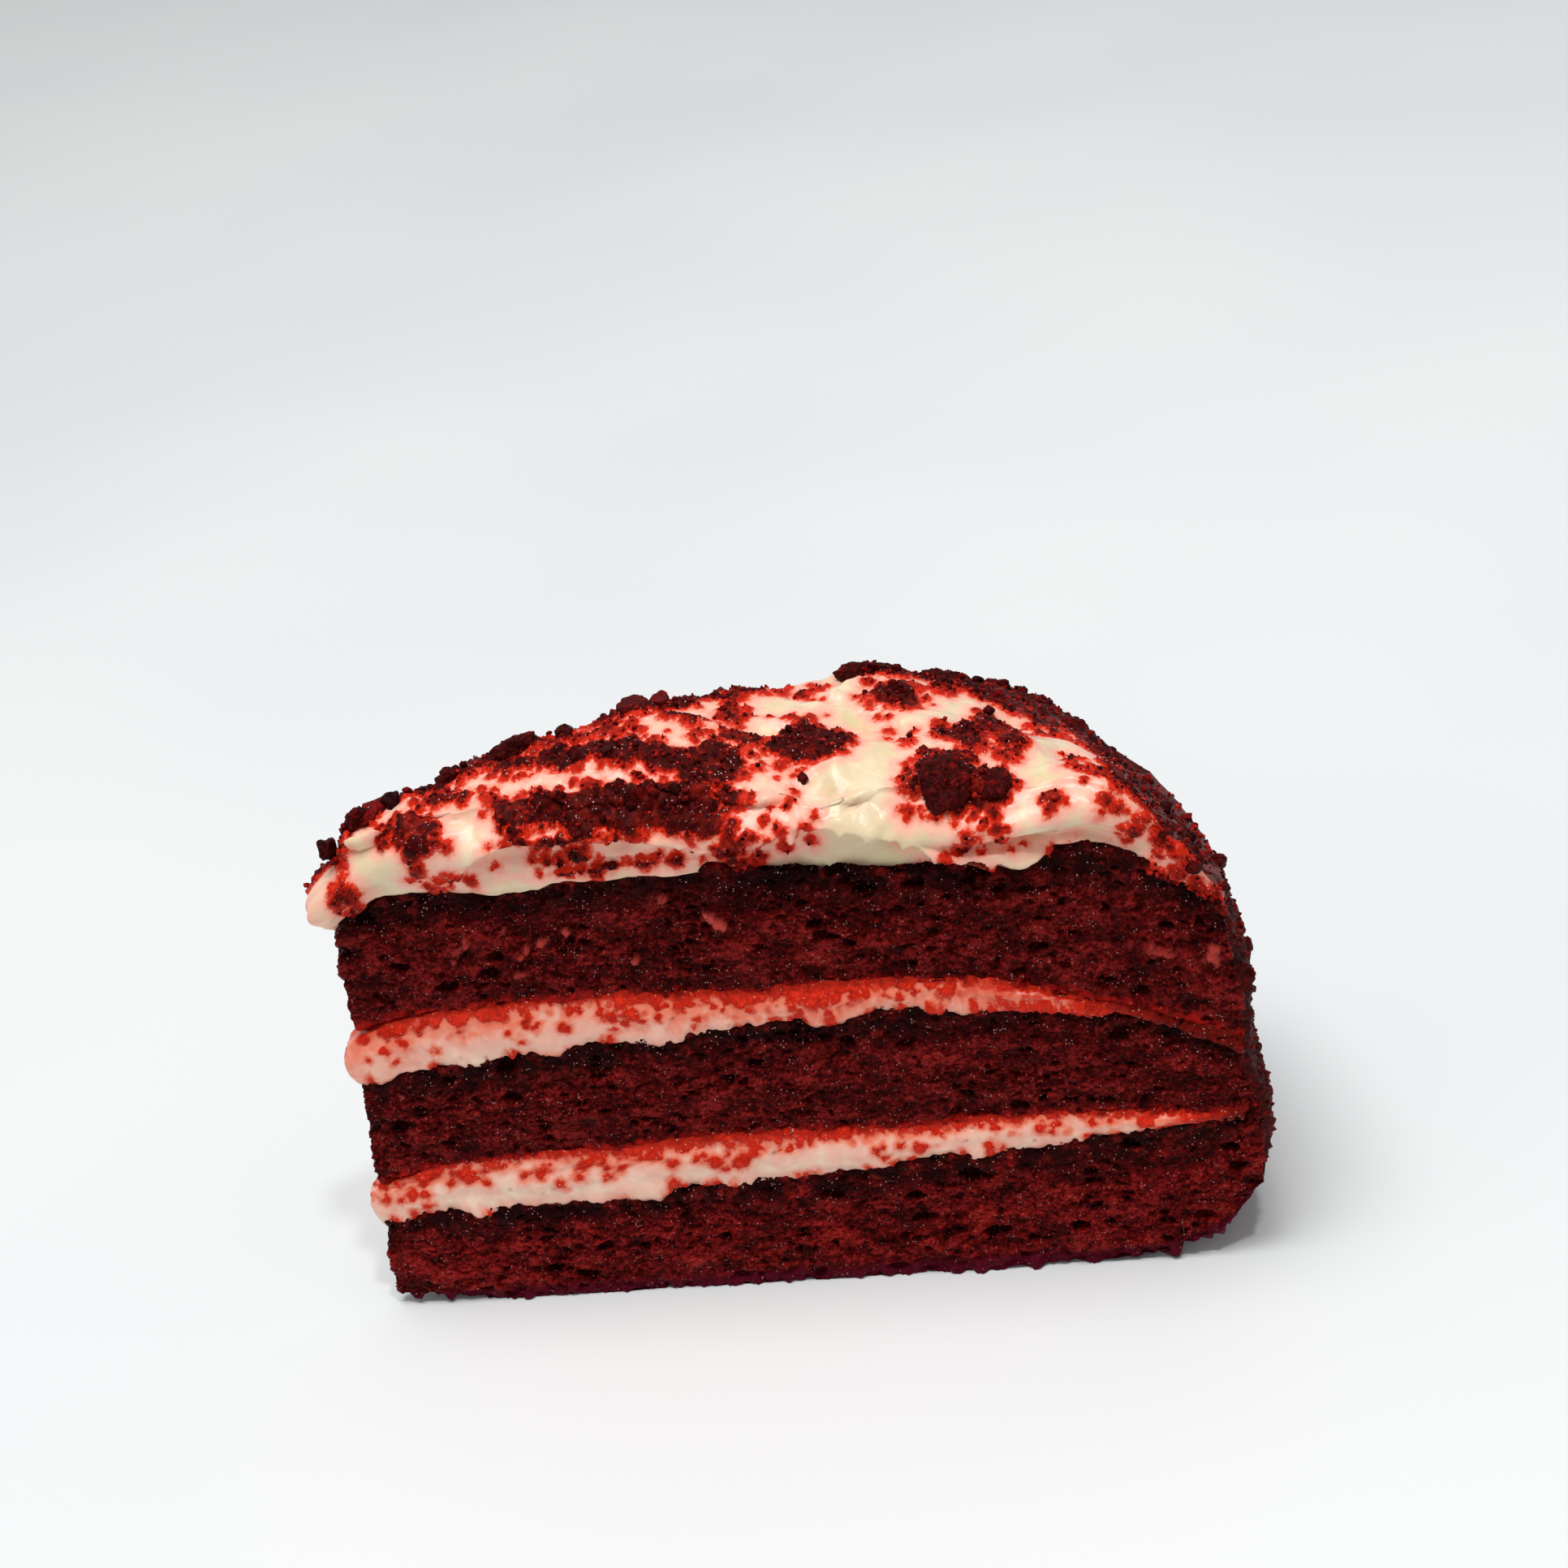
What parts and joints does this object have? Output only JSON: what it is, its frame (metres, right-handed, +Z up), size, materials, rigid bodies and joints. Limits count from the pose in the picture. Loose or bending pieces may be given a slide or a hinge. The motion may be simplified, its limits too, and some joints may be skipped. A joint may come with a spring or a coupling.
{
  "type": "red velvet cake slice",
  "caption": "Wedge of layered red velvet cake with cream filling, thick cream frosting and crumb topping, resting on its base.",
  "frame": {"origin": "under the middle of the slice's bounding box, on the surface that it stands on", "axes": "+X along the near cut face from the wedge's point to its rim, +Y from the near cut face towards the far one, +Z up"},
  "size_m": [0.1244, 0.055, 0.0816],
  "materials": {
    "sponge": "matte, moist crumb",
    "cream_filling": "soft satin, stained pink",
    "cream_frosting": "soft satin",
    "cake_crumbs": "matte crumbs"
  },
  "bodies": {
    "root": {"sponge_bottom": "sponge", "filling_lower": "cream_filling", "sponge_middle": "sponge", "filling_upper": "cream_filling", "sponge_top": "sponge", "frosting": "cream_frosting", "crumb_coat": "cake_crumbs", "crumb_lump_1": "cake_crumbs", "crumb_lump_2": "cake_crumbs", "crumb_lump_3": "cake_crumbs", "crumb_lump_4": "cake_crumbs", "crumb_lump_5": "cake_crumbs", "crumb_lump_6": "cake_crumbs"}
  },
  "joints": []
}
